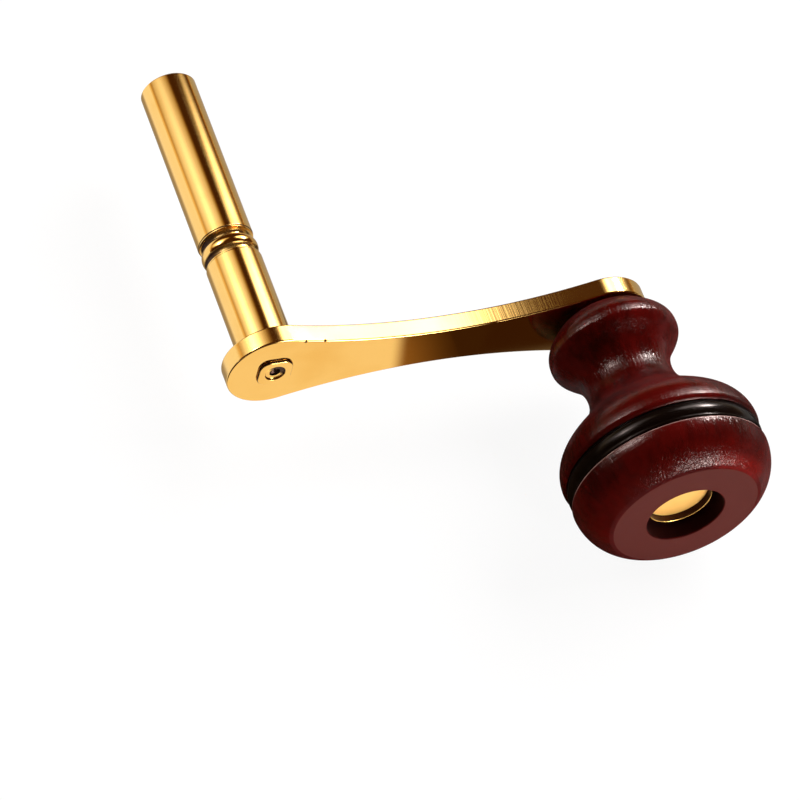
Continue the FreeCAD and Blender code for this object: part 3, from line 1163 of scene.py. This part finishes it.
def makeFloor():
    size = studio["floorSize"]
    middle = Vector((0, 0, floorLevel))
    floor = makePanel("floor", middle, Vector((size, 0, 0)), Vector((0, size, 0)))
    finish = newFinish("paleFloor")
    x, y, _ = finish.places()
    away = ((x - studio["aim"][0])**2 + (y - studio["aim"][1])**2)**0.5
    path = finish.outputs("ShaderNodeLightPath")
    seen = path["Is Camera Ray"] + path["Is Glossy Ray"] + path["Is Transmission Ray"]
    shadow = (1 - finish.step(away, *studio["shadowReach"])) * studio["shadowShare"]
    matt = finish.node("ShaderNodeBsdfDiffuse", {}, {"Color": studio["floorColour"]})
    white = finish.light((1, 1, 1, 1), studio["floorGlow"])
    lift = seen.atMost(1.0) * (1 - shadow)
    floor.data.materials.append(finish.close(finish.mixed(lift, matt, white)))


def makeLamp(name, lamp):
    # A lit panel that faces the key. Its light fades towards its sides
    distance, facing = lamp["distance"], polar(*lamp["look"])
    middle = aim + facing * distance
    across = facing.cross(Vector((0, 0, 1))).normalized()
    up = across.cross(facing)
    reach = lamp["reach"] * distance / mm
    panel = makePanel(name, middle / mm, across * reach, up * reach)
    finish = newFinish(name)
    where = finish.where()
    sides = []
    for turn, start, soft in lamp["sides"]:
        axis = across * math.cos(math.radians(turn)) + up * math.sin(math.radians(turn))
        sides.append((axis / distance, start + middle.dot(axis) / distance, soft))
    hotSide, hotUp = [
        finish.along(where, axis / distance, place + middle.dot(axis) / distance)
        for axis, place in zip((across, up), lamp["hotPlace"])]
    spread = -(hotSide * hotSide + hotUp * hotUp) / lamp["hotSize"]**2
    glow = spread.maths("EXPONENT", spread) * lamp["hotGlow"] + lamp["glow"]
    behind = finish.node("ShaderNodeNewGeometry", output="Backfacing")
    light = finish.warmed(glow * finish.inside(where, sides) * (1 - behind), *lamp["warmth"])
    clear = finish.node("ShaderNodeBsdfTransparent")
    shader = finish.node("ShaderNodeAddShader", {}, {0: clear, 1: finish.light(light)})
    panel.data.materials.append(finish.close(shader))
    hide(panel, "camera", "shadow")
    if not lamp["sides"]:
        hide(panel, "diffuse")


def makeCard(name, middle, axes, reach, soft, glow):
    # A flat card with soft sides, which only the polish shows
    middle = Vector(middle)
    card = makePanel(name, middle, axes[0] * reach[0], axes[1] * reach[1])
    finish = newFinish(name)
    sides = [
        (axis * sign, (middle.dot(axis) * sign - size) * mm, soft * mm)
        for axis, size in zip(axes, reach) for sign in (1, -1)]
    mask = finish.inside(finish.where(), sides)
    clear = finish.node("ShaderNodeBsdfTransparent")
    shader = finish.mixed(mask, clear, finish.light((*glow, 1)))
    card.data.materials.append(finish.close(shader))
    hide(card, "camera", "shadow", "diffuse", "transmission")


def makeCards():
    for count, (name, (middle, reach, soft, turn, glow)) in enumerate(floorCards.items(), 1):
        along, across = math.cos(math.radians(turn)), math.sin(math.radians(turn))
        axes = Vector((along, across, 0)), Vector((-across, along, 0))
        height = floorLevel + studio["cardGap"] * count
        makeCard(name, (*middle, height), axes, reach, soft, glow)
    c = knobCard
    low = floorLevel - c["soft"]
    middle = (c["x"], sum(c["ends"]) / 2, (low + c["top"]) / 2)
    reach = ((c["ends"][1] - c["ends"][0]) / 2, (c["top"] - low) / 2)
    axes = Vector((0, 1, 0)), Vector((0, 0, 1))
    makeCard("knobCard", middle, axes, reach, c["soft"], c["glow"])


def makeFill():
    light = bpy.data.lights.new("topFill", "AREA")
    light.shape, light.size, light.energy = "DISK", topFill["size"], topFill["watts"]
    lamp = bpy.data.objects.new("topFill", light)
    lamp.location = aim + polar(*topFill["look"]) * topFill["distance"]
    lamp.rotation_euler = (lamp.location - aim).to_track_quat("Z", "Y").to_euler()
    hide(lamp, "camera", "glossy")
    bpy.context.scene.collection.objects.link(lamp)


def makeWorld():
    world = bpy.data.worlds.new("studio")
    bpy.context.scene.world = world
    finish = Finish(world)
    look = finish.node("ShaderNodeTexCoord", output="Generated")
    side, back, up = finish.outputs("ShaderNodeSeparateXYZ", {0: look}).values()
    left = 1 - finish.step(side, *room["leftSpan"])
    wall = (1 - finish.step(up, *room["wallTop"])) * (room["wallGlow"] + left * room["leftGlow"])
    wall = finish.warmed(wall * finish.step(back, *room["wallSide"]), *room["warmth"])
    colour = finish.blend(1.0, wall, room["dark"], "ADD")
    glow = finish.node("ShaderNodeBackground", {}, {"Color": colour, "Strength": 1.0})
    finish.close(glow, "ShaderNodeOutputWorld")


print("setting up the studio")
makeFloor()
for lampName, lamp in lamps.items():
    makeLamp(lampName, lamp)
makeCards()
makeFill()
makeWorld()


# Camera

view = {
    "place": (-0.2438761, -0.4699381, 0.6010211),    # metres
    "turn": (36.9742, -11.4263, -18.7439),           # degrees
    "lens": 204.804,
    "sensor": 36.0,
    "clipStart": 0.05,
}

print("placing the camera")
cameraData = bpy.data.cameras.new("camera")
cameraData.lens = view["lens"]
cameraData.sensor_width = view["sensor"]
cameraData.clip_start = view["clipStart"]
camera = bpy.data.objects.new("camera", cameraData)
camera.location = view["place"]
camera.rotation_euler = Euler([math.radians(angle) for angle in view["turn"]])
bpy.context.scene.collection.objects.link(camera)
bpy.context.scene.camera = camera
bpy.context.scene.view_settings.view_transform = "Standard"
